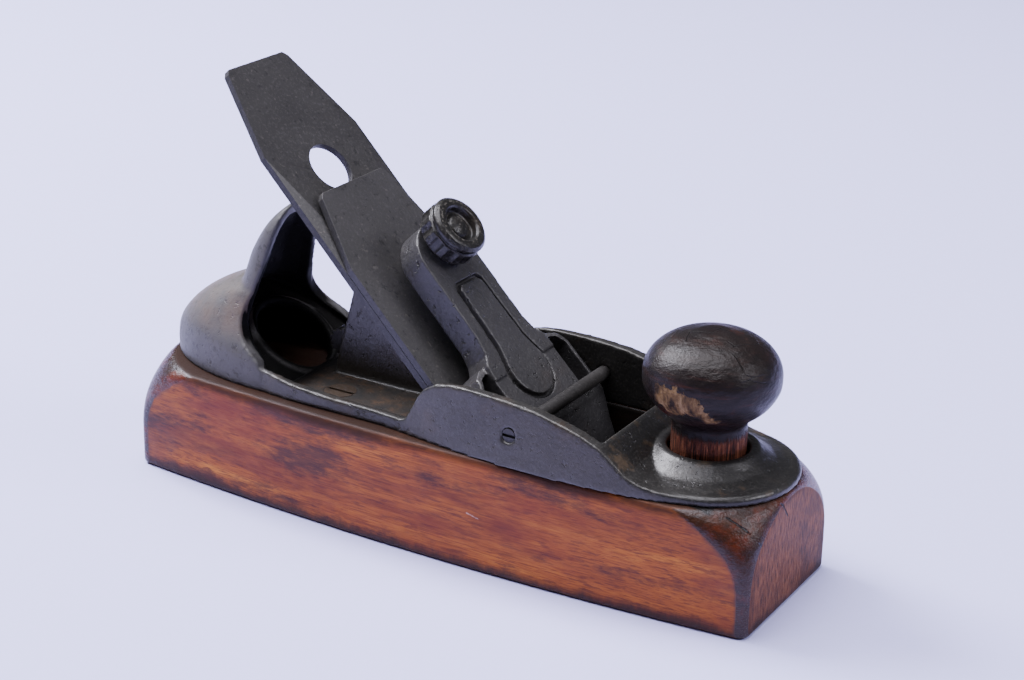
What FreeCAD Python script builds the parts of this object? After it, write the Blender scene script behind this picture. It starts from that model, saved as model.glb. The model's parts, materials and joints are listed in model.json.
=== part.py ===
import FreeCAD, Part
import Sketcher
import math
import os

from FreeCAD import Placement, Rotation, Vector

# Wood-bottomed smoothing plane with a cast top.
# Frame: +X towards the toe, +Y across, +Z up, origin in the middle of the sole.
# Parts that lie on the bed are modelled in a bed frame: its x runs up the bed from
# the line where the cutter's upper face meets the sole, its z out of the bed.

SIZES = {
    # beech stock
    "stock_length": 203.2,
    "stock_height": 34.0,
    "stock_half_width": 31.2,
    "stock_end_half_width": 26.0,
    "corner_small": 3.0,
    "corner_large": 25.5,
    "corner_start": 10.0,
    "corner_flatten": 0.82,
    "sole_ease": 1.2,
    "throat_half_width": 24.0,
    "throat_front_sole": 47.4,
    "throat_front_top": 55.6,
    "throat_clear": 0.3,
    # cast top
    "floor_top": 36.2,
    "cheek_top": 52.1,
    "cheek_inner": 24.4,
    "casting_taper": 0.9,
    "flange_radius": 25.4,
    "boss_x": 75.9,
    "boss_hole": 11.2,
    "boss_ring": 14.3,
    "boss_top": 41.4,
    "casting_half_width": 40.0,
    "bar_back": 56.5,
    "bar_top": 43.6,
    "shell_wall": 2.8,
    "ring_x": -61.9,
    "ring_height": 42.4,
    "ring_slope": 36.0,
    "ring_hole": 12.3,
    "ring_lip": 1.4,
    "ring_web": 2.6,
    "web_outer": 5.2,
    "web_inner": 1.9,
    "web_top": 110.0,
    "seat_top": 60.0,
    "seat_half_width": 22.0,
    "seat_clear": 0.05,
    # bed and cutter
    "bed_angle": 46.1,
    "mouth_x": 45.7,
    "cutter_width": 44.45,
    "cutter_thick": 2.0,
    "cutter_setback": 0.4,
    "cutter_shoulder": 144.6,
    "cutter_length": 172.6,
    "cutter_end_width": 28.1,
    "cutter_hole_at": 134.9,
    "cutter_hole": 7.5,
    "slot_foot": 70.0,
    "slot_half": 4.0,
    "bevel_angle": 25.0,
    # cap iron and its screw
    "cap_thick": 2.2,
    "cap_gap": 1.2,
    "cap_flat_end": 106.5,
    "cap_end": 127.8,
    "cap_end_half": 15.5,
    "cap_screw_at": 91.0,
    "cap_screw_shank": 3.1,
    "cap_screw_head": 6.5,
    "cap_screw_head_thick": 2.4,
    "nib_at": 80.0,
    "nib_slot": 3.5,
    # cross rod
    "rod_at": 41.5,
    "rod_out": 18.5,
    "rod_radius": 2.0,
    "rod_half": 28.9,
    "rod_slot": 0.9,
    # lever cap and thumbscrew
    "lever_top": 16.0,
    "arm_half": 11.7,
    "arm_depth": 8.2,
    "arm_end": 104.3,
    "arm_foot": 60.0,
    "foot_half": 16.0,
    "ear_half": 23.6,
    "cap_lip_at": 13.5,
    "panel_rise": 0.5,
    "panel_groove": 1.3,
    "panel_groove_width": 1.2,
    "thumb_at": 97.7,
    "stem_radius": 2.5,
    "stem_tip": 2.35,
    "running_gap": 0.06,
    "thumb_radius": 9.2,
    "thumb_bottom": 17.6,
    "thumb_top": 26.3,
    "thumb_dish": 5.9,
    "thumb_flutes": 11,
    "flute_radius": 2.6,
    "flute_depth": 0.8,
    # adjusting lever
    "lever_arm": 14.0,
    "lever_thick": 3.4,
    "pin_radius": 1.5,
    "tail_x": -43.6,
    "tail_z": 44.4,
    "tail_radius": 4.2,
    # knob
    "knob_radius": 18.8,
    "knob_equator": 61.7,
    "knob_top": 73.8,
    "knob_neck": 10.3,
    "stud_radius": 3.0,
    "stud_low": 12.0,
    "stud_high": 57.2,
    # floor screws
    "screw_x": -34.0,
    "screw_y": 16.0,
    "screw_head": 4.7,
    "screw_shank": 2.2,
    "screw_head_depth": 1.6,
    "screw_length": 20.0,
    "screw_slot": 1.1,
}

doc = FreeCAD.newDocument("smoothing_plane")
sheet = doc.addObject("Spreadsheet::Sheet", "Sizes")
for row, (alias, number) in enumerate(SIZES.items(), start=1):
    sheet.set("A%d" % row, alias)
    sheet.set("B%d" % row, str(number))
    sheet.setAlias("B%d" % row, alias)
doc.recompute()


def size(alias):
    """A driving dimension, read back from the sheet."""
    return float(sheet.get(alias))


def bed_frame():
    """Placement of the bed frame in the plane's frame."""
    angle = math.radians(size("bed_angle"))
    up_bed = Vector(-math.cos(angle), 0, math.sin(angle))
    out_of_bed = Vector(math.sin(angle), 0, math.cos(angle))
    across = out_of_bed.cross(up_bed)
    return Placement(Vector(size("mouth_x"), 0, 0), Rotation(up_bed, across, out_of_bed, "XZY"))


BED = bed_frame()


def on_bed(up, across, out):
    """A point of the bed frame, in the plane's frame."""
    return BED.multVec(Vector(up, across, out))


# ---- small builders ----

def bound(kind, name, sizes, base=(0, 0, 0), direction=(0, 0, 1)):
    """A Part primitive whose sizes follow the sheet."""
    item = doc.addObject(kind, name)
    for prop, expression in sizes.items():
        item.setExpression(prop, expression)
    item.Placement = Placement(Vector(*base), Rotation(Vector(0, 0, 1), Vector(*direction)))
    return item


def cylinder(name, radius, height, base=(0, 0, 0), direction=(0, 0, 1)):
    return bound("Part::Cylinder", name, {"Radius": radius, "Height": height}, base, direction)


def box(name, length, width, height, base):
    return bound("Part::Box", name, {"Length": length, "Width": width, "Height": height}, base)


def cut(name, base, tool):
    item = doc.addObject("Part::Cut", name)
    item.Base = base
    item.Tool = tool
    return item


def fuse(name, shapes):
    item = doc.addObject("Part::MultiFuse", name)
    item.Shapes = shapes
    item.Refine = True
    return item


def feature(label, shape, placement=None):
    """A sub-part whose shape is worked out here from the sheet."""
    item = doc.addObject("Part::Feature", label)
    item.Shape = shape
    if placement is not None:
        item.Placement = placement.multiply(item.Placement)
    return item


def polyline_face(points):
    """Planar face through the given corners."""
    corners = [Vector(*point) for point in points]
    return Part.Face(Part.makePolygon(corners + corners[:1]))


def plan_prism(points, low, high):
    """Prism over a closed outline of (x, y) corners."""
    return polyline_face([(x, y, low) for x, y in points]).extrude(Vector(0, 0, high - low))


def side_prism(points, half_width):
    """Prism across the plane over a closed outline of (x, z) corners."""
    face = polyline_face([(x, -half_width, z) for x, z in points])
    return face.extrude(Vector(0, 2 * half_width, 0))


def mirrored_outline(points):
    """A closed outline from the points of its +Y half, listed toe to heel."""
    return points + [(x, -y) for x, y in reversed(points)]


def spline(points, start=None, end=None):
    curve = Part.BSplineCurve()
    corners = [Vector(*point) for point in points]
    if start is None:
        curve.interpolate(corners)
    else:
        curve.interpolate(corners, InitialTangent=Vector(*start), FinalTangent=Vector(*end))
    return curve.toShape()


# ---- PartDesign helpers ----

def origin_plane(body, role):
    return next(item for item in body.Origin.OriginFeatures if item.Role == role)


def sketch_on(body, name, role):
    sketch = body.newObject("Sketcher::SketchObject", name)
    sketch.AttachmentSupport = [(origin_plane(body, role), "")]
    sketch.MapMode = "FlatFace"
    return sketch


def sketch_outline(sketch, corners):
    """Closed outline whose corners are pairs of expressions on the sheet."""
    numbers = [[float(sheet.evalExpression(text)) for text in corner] for corner in corners]
    count = len(corners)
    for i in range(count):
        start = Vector(*numbers[i], 0)
        end = Vector(*numbers[(i + 1) % count], 0)
        sketch.addGeometry(Part.LineSegment(start, end), False)
    for i in range(count):
        sketch.addConstraint(Sketcher.Constraint("Coincident", i, 2, (i + 1) % count, 1))
    for i in range(count):
        for kind, text, number in zip(("DistanceX", "DistanceY"), corners[i], numbers[i]):
            index = sketch.addConstraint(Sketcher.Constraint(kind, -1, 1, i, 1, number))
            sketch.setExpression("Constraints[%d]" % index, text)


def sketch_circle(sketch, centre_x, radius):
    """Circle on the sketch's x axis."""
    place = float(sheet.evalExpression(centre_x))
    reach = float(sheet.evalExpression(radius))
    circle = sketch.addGeometry(Part.Circle(Vector(place, 0, 0), Vector(0, 0, 1), reach), False)
    sketch.addConstraint(Sketcher.Constraint("PointOnObject", circle, 3, -1))
    index = sketch.addConstraint(Sketcher.Constraint("DistanceX", -1, 1, circle, 3, place))
    sketch.setExpression("Constraints[%d]" % index, centre_x)
    index = sketch.addConstraint(Sketcher.Constraint("Radius", circle, reach))
    sketch.setExpression("Constraints[%d]" % index, radius)


def pad(body, name, sketch, length, midplane=False, reverse=False):
    item = body.newObject("PartDesign::Pad", name)
    item.Profile = sketch
    item.setExpression("Length", length)
    item.Midplane = midplane
    item.Reversed = reverse
    return item


def pocket_through(body, name, sketch):
    """Pocket through the whole body, both ways from the sketch."""
    item = body.newObject("PartDesign::Pocket", name)
    item.Profile = sketch
    item.Type = "ThroughAll"
    item.Midplane = True
    return item


# ---- beech stock ----

def stock_section(height, corner, inset=0.0):
    """Coffin-shaped outline: straight ends, arched sides, rounded corners."""
    end_x = size("stock_length") / 2 - inset
    half = size("stock_half_width") - inset
    sag = size("stock_half_width") - size("stock_end_half_width")
    side_radius = (end_x ** 2 + sag ** 2) / (2 * sag)
    side_centre = half - side_radius
    centre_x = end_x - corner
    centre_y = side_centre + math.sqrt((side_radius - corner) ** 2 - centre_x ** 2)
    away = Vector(centre_x, centre_y - side_centre, 0).normalize()
    touch = Vector(centre_x, centre_y, 0) + away * corner
    # up the stock the corner grows flatter than a tangent arc, which leaves a ridge at both its ends
    mid = (away + Vector(1, 0, 0)).normalize()
    half_chord = math.cos(away.getAngle(Vector(1, 0, 0)) / 2)
    flatten = 1 + (size("corner_flatten") - 1) * corner_rise(height)
    swell = half_chord + (1 - half_chord) * flatten
    corner_mid = Vector(centre_x, centre_y, 0) + mid * corner * swell

    def at(x, y):
        return Vector(x, y, height)

    edges = []
    edges.append(Part.Arc(at(-touch.x, touch.y), at(0, half), at(touch.x, touch.y)))
    edges.append(Part.Arc(at(touch.x, touch.y), at(corner_mid.x, corner_mid.y), at(end_x, centre_y)))
    edges.append(Part.LineSegment(at(end_x, centre_y), at(end_x, -centre_y)))
    edges.append(Part.Arc(at(end_x, -centre_y), at(corner_mid.x, -corner_mid.y), at(touch.x, -touch.y)))
    edges.append(Part.Arc(at(touch.x, -touch.y), at(0, -half), at(-touch.x, -touch.y)))
    edges.append(Part.Arc(at(-touch.x, -touch.y), at(-corner_mid.x, -corner_mid.y),
                          at(-end_x, -centre_y)))
    edges.append(Part.LineSegment(at(-end_x, -centre_y), at(-end_x, centre_y)))
    edges.append(Part.Arc(at(-end_x, centre_y), at(-corner_mid.x, corner_mid.y), at(-touch.x, touch.y)))
    return Part.Wire([edge.toShape() for edge in edges])


def corner_rise(height):
    """How far up the swelling corner a height is, 0 to 1."""
    rise = (height - size("corner_start")) / (size("stock_height") - size("corner_start"))
    return max(rise, 0)


def stock_corner(height):
    """Corner radius at a height: small below, swelling to a half round at the top."""
    swell = (size("corner_large") - size("corner_small")) * corner_rise(height) ** 2.7
    return size("corner_small") + swell


def throat_side_outline(front_sole, front_top, back_gap, top):
    """Side view of the escapement, from the sole to a height above the stock."""
    angle = math.radians(size("bed_angle"))
    bed_out = size("cutter_thick") + back_gap
    back_sole = size("mouth_x") - bed_out / math.sin(angle)
    slope = math.tan(math.pi / 2 - angle)
    front_slope = (front_top - front_sole) / size("stock_height")
    low = -1.0
    return [
        (back_sole - low * slope, low),
        (front_sole + low * front_slope, low),
        (front_sole + top * front_slope, top),
        (back_sole - top * slope, top),
    ]


def wood_body():
    height = size("stock_height")
    start = size("corner_start")
    base = Part.Face(stock_section(0, size("corner_small"))).extrude(Vector(0, 0, start))
    ease_start = height - 3.2
    levels = [start, 14, 18, 21.5, 24.5, 27, 29, ease_start]
    upper = Part.makeLoft([stock_section(z, stock_corner(z)) for z in levels], True, False)
    eased = [(ease_start, 0.0), (height - 1.8, 0.1), (height - 0.8, 0.35), (height, 0.8)]
    crown = Part.makeLoft([stock_section(z, stock_corner(z), inset) for z, inset in eased], True, False)
    low_edges = [edge for edge in base.Edges if edge.BoundBox.ZMax < 0.01]
    base = base.makeFillet(size("sole_ease"), low_edges)
    stock = base.fuse([upper, crown])
    outline = throat_side_outline(size("throat_front_sole"), size("throat_front_top"),
                                  size("throat_clear"), height + 1)
    stock = stock.cut(side_prism(outline, size("throat_half_width")))
    for sign in (-1, 1):
        hole = Part.makeCylinder(size("screw_shank"), size("screw_length") + 1,
                                 Vector(size("screw_x"), sign * size("screw_y"),
                                        size("floor_top") - size("screw_length")))
        stock = stock.cut(hole)
    stud_hole = Part.makeCylinder(size("stud_radius"), height, Vector(size("boss_x"), 0, size("stud_low")))
    return feature("wood_body", stock.cut(stud_hole))


# ---- cast top ----

CASTING_SIDE = [(48.7, 30.4), (26.5, 30.5), (5.1, 28.7), (-13.5, 26.3), (-32, 26.4), (-52, 25.6),
                (-69.8, 22.4), (-87.8, 15.6), (-98.4, 6.6)]
HEEL_X = -101.0


def casting_outline(height, width_scale):
    """Outline of the cast top: a round toe, swelling at the cheeks, a round heel."""
    radius = size("flange_radius")
    centre = size("boss_x")
    toe_angle = math.radians(68)
    touch = (centre + radius * math.cos(toe_angle), radius * math.sin(toe_angle))
    side = [(x, y * width_scale, height) for x, y in [touch] + CASTING_SIDE] + [(HEEL_X, 0, height)]
    tangent = (-math.sin(toe_angle), math.cos(toe_angle) * width_scale, 0)
    left = spline(side, tangent, (0, -1, 0))
    right = left.mirror(Vector(0, 0, 0), Vector(0, 1, 0))
    touch_left = Vector(*side[0])
    touch_right = Vector(touch_left.x, -touch_left.y, height)
    toe = Part.Arc(touch_right, Vector(centre + radius, 0, height), touch_left).toShape()
    return Part.Wire([left, right, toe])


def cheek_profile():
    """Side view of the rim, the cheeks and their run-down to the toe, above the stock."""
    base = size("stock_height")
    top = size("cheek_top")
    crown = [(-57, 40.6), (-45, 38.9), (-30, 38.0), (-6.4, 37.7), (-4.6, 38.4), (-1.1, 45.6),
             (0.8, 48.2), (4.9, 50.7), (9.7, 51.8), (14.1, top), (20, top), (28.3, 51.9),
             (37.2, 51.1), (46.1, 49.1), (51.7, 47.5), (57.3, 45.2), (61.8, 41.9),
             (64.8, 39.4), (69, 37.6), (74, 36.6), (82, 36.2)]
    return [(-110, base - 1), (-110, 43), (-64, 43)] + crown + [(82, base - 1)]


def toe_flange():
    """Round toe flange with its knob boss, turned about the knob's axis."""
    base = size("stock_height")
    top = size("boss_top")
    ring = size("boss_ring")
    hole = size("boss_hole")
    rim = size("flange_radius")
    outline = [(size("stud_radius"), base), (rim, base), (rim, base + 1.7), (rim - 1.2, base + 2.6),
               (rim - 3.4, base + 2.7), (ring + 4.0, base + 3.7), (ring + 1.6, base + 5.4),
               (ring + 0.3, top - 0.9), (ring - 0.7, top), (hole + 0.7, top), (hole, top - 0.7),
               (hole, size("floor_top")), (size("stud_radius"), size("floor_top"))]
    face = polyline_face([(r, 0, z) for r, z in outline])
    flange = face.revolve(Vector(0, 0, 0), Vector(0, 0, 1), 360)
    flange.translate(Vector(size("boss_x"), 0, 0))
    return flange


# hood openings: height, x of the opening's edge, its half-width, x of the back
DOME = [(34.0, -55.0, 25.2, -101.0), (38.0, -56.0, 24.8, -101.4), (41.7, -57.6, 24.2, -101.0),
        (45.3, -62.5, 22.8, -99.3), (49.0, -66.1, 20.6, -96.2), (52.6, -67.3, 18.6, -92.0),
        (55.6, -67.0, 17.0, -87.4), (58.0, -66.0, 15.9, -82.6), (60.2, -65.4, 14.6, -77.0)]
HORN = [(50.0, -66.6, 17.6, -82.0), (56.0, -66.6, 15.6, -77.6), (60.0, -65.5, 15.0, -75.8),
        (64.0, -64.2, 14.2, -74.4), (68.4, -62.9, 13.2, -73.2), (73.5, -61.6, 12.0, -70.7),
        (78.6, -60.4, 10.2, -67.2), (81.7, -59.8, 8.0, -64.2), (84.2, -59.2, 4.4, -61.2)]


def hood_section(height, edge_x, half_width, back_x):
    """Half-round section of the hood, flat across its opening."""
    depth = edge_x - back_x
    points = []
    for step in range(9):
        turn = math.pi * step / 8 - math.pi / 2
        blunt = abs(math.cos(turn)) ** 0.9
        points.append((edge_x - depth * blunt, half_width * math.sin(turn), height))
    arc = spline(points, (-1, 0, 0), (1, 0, 0))
    chord = Part.LineSegment(Vector(*points[-1]), Vector(*points[0])).toShape()
    return Part.Wire([arc, chord])


def hood_solid(rows, wall):
    """Loft of hood sections, or of its hollow when a wall is given."""
    wires = []
    for height, edge_x, half_width, back_x in rows:
        front = edge_x + (0.6 if wall else 0.0)
        wires.append(hood_section(height, front, half_width - wall, back_x + wall))
    return Part.makeLoft(wires, True, False)


def shifted(rows, drop, last):
    """Rows lowered by a distance, without those above a height, for the hollow's crown."""
    return [(z - drop, x, w, b) for z, x, w, b in rows if z <= last]


def handle_hood():
    """Hollow cast handle: a low dome running up into a horn, open to the front."""
    wall = size("shell_wall")
    solid = hood_solid(DOME, 0).fuse(hood_solid(HORN, 0))
    base = size("stock_height")
    dome_rows = [(base - 1.0,) + DOME[0][1:]] + shifted(DOME[1:], wall, 99)
    horn_rows = shifted(HORN, 0, 76) + [(79.0, -60.2, 9.4, -66.8), (81.4, -59.6, 6.6, -64.6)]
    hollow = hood_solid(dome_rows, wall).fuse(hood_solid(horn_rows, wall))
    return solid, hollow


def ring_web(hollow):
    """Sloping web inside the hood, with a round hole and a raised lip."""
    centre = Vector(size("ring_x"), 0, size("ring_height"))
    slope = math.radians(size("ring_slope"))
    normal = Vector(math.sin(slope), 0, math.cos(slope))
    thick = size("ring_web")
    base = size("stock_height")
    reach = 2 * size("ring_hole")
    lip_round = size("ring_lip")
    above_stock = Part.makeBox(4 * reach, 4 * reach, 4 * reach,
                               Vector(centre.x - 2 * reach, -2 * reach, base))
    disc = Part.makeCylinder(reach, thick, centre - normal * thick, normal)
    front_room = Part.makeBox(17, 45.4, 8.6, Vector(-66, -22.7, base))
    web = disc.common(hollow.fuse(front_room)).common(above_stock)
    lip = Part.makeTorus(size("ring_hole") + lip_round, lip_round, centre - normal * 0.6, normal)
    hole = Part.makeCylinder(size("ring_hole"), reach, centre - normal * 8, normal)
    return web.fuse(lip.common(above_stock)).cut(hole)


def frog_webs():
    """Two upright webs that carry the cutter, with the lever's gap between them."""
    floor = size("stock_height")
    angle = math.radians(size("bed_angle"))
    out = -size("cutter_thick") - size("seat_clear")
    top = on_bed(size("web_top"), 0, out)
    foot_up = (floor - out * math.cos(angle)) / math.sin(angle)
    foot = on_bed(foot_up, 0, out)
    # relief for the cap iron screw's head
    relief_low = size("cap_screw_at") - size("cap_screw_head") - 1
    relief_high = size("cap_screw_at") + size("cap_screw_head") + 3.5
    relief_out = out - size("cap_screw_head_thick") - 2.6
    notch = [on_bed(up, 0, deep) for up, deep in
             ((relief_high, out), (relief_high, relief_out), (relief_low, relief_out), (relief_low, out))]
    outline = [(-43.5, floor), (-43.0, 40.0), (top.x - 1.4, top.z - 2.0), (top.x, top.z)]
    outline += [(point.x, point.z) for point in notch]
    outline += [(foot.x, foot.z)]
    both = side_prism(outline, size("web_outer"))
    gap_start = size("floor_top")
    gap = Part.makeBox(80, 2 * size("web_inner"), 60, Vector(-60, -size("web_inner"), gap_start))
    seat_top = on_bed(size("seat_top"), 0, out)
    seat = side_prism([(seat_top.x - 7.0, floor), (seat_top.x, seat_top.z), (foot.x, foot.z)],
                      size("seat_half_width"))
    pin = lever_pin_centre()
    bore = Part.makeCylinder(size("pin_radius"), 30, Vector(pin.x, -15, pin.z), Vector(0, 1, 0))
    return both.cut(gap).fuse(seat).cut(bore)


def top_casting():
    base = size("stock_height")
    crown = size("cheek_top") + 1
    half = size("casting_half_width")
    across = Vector(0, 1, 0)
    ends = [casting_outline(base, 1.0), casting_outline(crown, size("casting_taper"))]
    block = Part.makeLoft(ends, True, True)
    block = block.common(side_prism(cheek_profile(), half))
    # hollow between the cheeks and inside the low rim
    inner = size("cheek_inner")
    hollow_plan = mirrored_outline([(size("bar_back"), inner), (-2, inner), (-8, 23.2), (-30, 22.9),
                                    (-46, 22.7), (-58, 22.0)])
    block = block.cut(plan_prism(hollow_plan, size("floor_top"), crown + 1))
    # the handle takes the place of the rim at the heel
    block = block.cut(Part.makeBox(55, 2 * half, 30, Vector(-112, -half, base - 1)))
    block = block.cut(Part.makeBox(16, 45.0, 5, Vector(-66, -22.5, base - 1)))
    # escapement through the floor
    outline = throat_side_outline(size("throat_front_sole"), size("throat_front_top"),
                                  size("seat_clear"), crown + 30)
    outline[1] = (size("bar_back"), outline[0][1])
    outline[2] = (size("bar_back"), crown + 30)
    throat = side_prism(outline, inner)
    block = block.cut(throat)
    # bar in front of the escapement, falling towards the toe
    bar_back = size("bar_back")
    bar_top = size("bar_top")
    bar = side_prism([(bar_back, base), (bar_back, bar_top), (bar_back + 1.2, bar_top),
                      (bar_back + 4.0, bar_top - 2.6), (bar_back + 9.0, base + 3.2), (bar_back + 12, base)],
                     inner + 2.1)
    knob_room = Part.makeCylinder(size("boss_ring"), 30, Vector(size("boss_x"), 0, base - 1))
    flange = toe_flange().cut(Part.makeBox(60, 2 * inner, 40, Vector(bar_back - 60, -inner, base - 2)))
    body = block.cut(knob_room).fuse(bar.cut(knob_room)).fuse(flange)
    hood, hollow = handle_hood()
    body = body.fuse(hood).cut(hollow)
    # clear the way out of the hollow, above the floor
    above_floor = Part.makeBox(80, 2 * half, 80, Vector(-110, -half, size("floor_top")))
    way_out = hollow.common(above_floor)
    for step in range(2):
        way_out.translate(Vector(4, 0, 0))
        body = body.cut(way_out)
    body = body.fuse(ring_web(hollow)).fuse(frog_webs())
    # bores for the cross rod and the floor screws
    rod = on_bed(size("rod_at"), 0, size("rod_out"))
    body = body.cut(Part.makeCylinder(size("rod_radius"), 2 * half, Vector(rod.x, -half, rod.z), across))
    depth = size("screw_head_depth")
    for sign in (-1, 1):
        place = Vector(size("screw_x"), sign * size("screw_y"), base - 1)
        body = body.cut(Part.makeCylinder(size("screw_shank"), 5, place))
        head_place = Vector(place.x, place.y, size("floor_top") - depth)
        body = body.cut(Part.makeCone(size("screw_shank") + 0.6, size("screw_head"), depth, head_place))
    return feature("top_casting", body.removeSplitter())


def cross_rod():
    """Rod across the cheeks, its near end slotted."""
    rod = on_bed(size("rod_at"), 0, size("rod_out"))
    half = size("rod_half")
    bar = cylinder("rod_bar", "Sizes.rod_radius", "2 * Sizes.rod_half", (rod.x, -half, rod.z), (0, 1, 0))
    slot = box("rod_slot", "2 * Sizes.rod_radius", "Sizes.rod_slot", "Sizes.rod_slot",
               (rod.x - size("rod_radius"), -half, rod.z - size("rod_slot") / 2))
    return cut("cross_rod", bar, slot)


def frame_screws():
    """Two slotted countersunk screws through the floor."""
    pair = []
    floor = size("floor_top")
    wide = size("screw_slot")
    for name, sign in (("near", -1), ("far", 1)):
        x = size("screw_x")
        y = sign * size("screw_y")
        head = bound("Part::Cone", "screw_head_" + name,
                     {"Radius1": "Sizes.screw_shank + 0.6", "Radius2": "Sizes.screw_head",
                      "Height": "Sizes.screw_head_depth"},
                     (x, y, floor - size("screw_head_depth")))
        shank = cylinder("screw_shank_" + name, "Sizes.screw_shank",
                         "Sizes.screw_length - Sizes.screw_head_depth", (x, y, floor - size("screw_length")))
        slot = box("screw_slot_" + name, "2 * Sizes.screw_head", "Sizes.screw_slot", "Sizes.screw_slot",
                   (x - size("screw_head"), y - wide / 2, floor - wide + 0.1))
        pair.append(cut("screw_" + name, fuse("screw_blank_" + name, [head, shank]), slot))
    group = doc.addObject("Part::Compound", "frame_screws")
    group.Links = pair
    return group


# ---- cutter and cap iron ----

def cutter():
    body = doc.addObject("PartDesign::Body", "cutter")
    outline = sketch_on(body, "cutter_outline", "XY_Plane")
    half = "Sizes.cutter_width / 2"
    end = "Sizes.cutter_end_width / 2"
    sketch_outline(outline, [
        ("Sizes.cutter_setback", "-" + half), ("Sizes.cutter_shoulder", "-" + half),
        ("Sizes.cutter_length - 1.5", "-" + end), ("Sizes.cutter_length", "-" + end + " + 1.5"),
        ("Sizes.cutter_length", end + " - 1.5"), ("Sizes.cutter_length - 1.5", end),
        ("Sizes.cutter_shoulder", half), ("Sizes.cutter_setback", half)])
    pad(body, "cutter_plate", outline, "Sizes.cutter_thick", reverse=True)
    hole = sketch_on(body, "cutter_hole_circle", "XY_Plane")
    sketch_circle(hole, "Sizes.cutter_hole_at", "Sizes.cutter_hole")
    pocket_through(body, "cutter_hole_cut", hole)
    slot = sketch_on(body, "cutter_slot_outline", "XY_Plane")
    sketch_outline(slot, [
        ("Sizes.slot_foot", "-Sizes.slot_half"), ("Sizes.cutter_hole_at", "-Sizes.slot_half"),
        ("Sizes.cutter_hole_at", "Sizes.slot_half"), ("Sizes.slot_foot", "Sizes.slot_half")])
    pocket_through(body, "cutter_slot_cut", slot)
    bevel = sketch_on(body, "cutter_bevel_outline", "XZ_Plane")
    run = "Sizes.cutter_thick / tan(Sizes.bevel_angle * 1deg)"
    sketch_outline(bevel, [
        ("Sizes.cutter_setback - 1", "-0.05"), ("Sizes.cutter_setback", "-0.05"),
        ("Sizes.cutter_setback + " + run, "-Sizes.cutter_thick"),
        ("Sizes.cutter_setback + " + run, "-Sizes.cutter_thick - 1"),
        ("Sizes.cutter_setback - 1", "-Sizes.cutter_thick - 1")])
    pocket_through(body, "cutter_bevel_cut", bevel)
    body.Placement = BED
    return body


def cap_iron():
    """Double iron: a hump over the edge, a flat body and a slightly raised top end."""
    thick = size("cap_thick")
    flat = size("cap_flat_end")
    end = size("cap_end")
    gap = size("cap_gap")
    low = 0.05
    lower = [(2.0, low), (6.0, 1.6), (11.0, 1.9), (22.0, low), (flat, low), (end, low + gap)]
    upper = [(end, low + gap + thick), (flat, low + thick), (24.0, low + thick),
             (14.0, 4.0), (7.0, 3.8), (2.4, 0.5)]
    side = side_prism(lower + upper, 30)
    half = size("cutter_width") / 2
    plan = mirrored_outline([(1, half), (flat - 2, half), (end - 1.5, size("cap_end_half") + 0.4),
                             (end, size("cap_end_half") - 1.0)])
    plate = side.common(plan_prism(plan, -5, 20))
    slot = size("nib_slot")
    nib = Part.makeBox(slot, 4.2, 20, Vector(size("nib_at") - slot / 2, -2.1, -5))
    thread = Part.makeCylinder(size("cap_screw_shank"), 20, Vector(size("cap_screw_at"), 0, -5))
    return feature("cap_iron", plate.cut(nib).cut(thread), BED)


def cap_iron_screw():
    """Slotted screw from under the cutter into the cap iron."""
    under = -size("cutter_thick") - size("seat_clear")
    place = size("cap_screw_at")
    head_thick = size("cap_screw_head_thick")
    head = cylinder("cap_screw_head_disc", "Sizes.cap_screw_head", "Sizes.cap_screw_head_thick",
                    (place, 0, under - head_thick))
    shank = cylinder("cap_screw_shank_rod", "Sizes.cap_screw_shank",
                     "Sizes.cutter_thick + Sizes.cap_thick + 2 * Sizes.seat_clear", (place, 0, under))
    slot = box("cap_screw_slot", "2 * Sizes.cap_screw_head", "1.2", "0.9",
               (place - size("cap_screw_head"), -0.6, under - head_thick))
    item = cut("cap_iron_screw", fuse("cap_screw_blank", [head, shank]), slot)
    item.Placement = BED
    return item


# ---- lever cap ----

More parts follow.
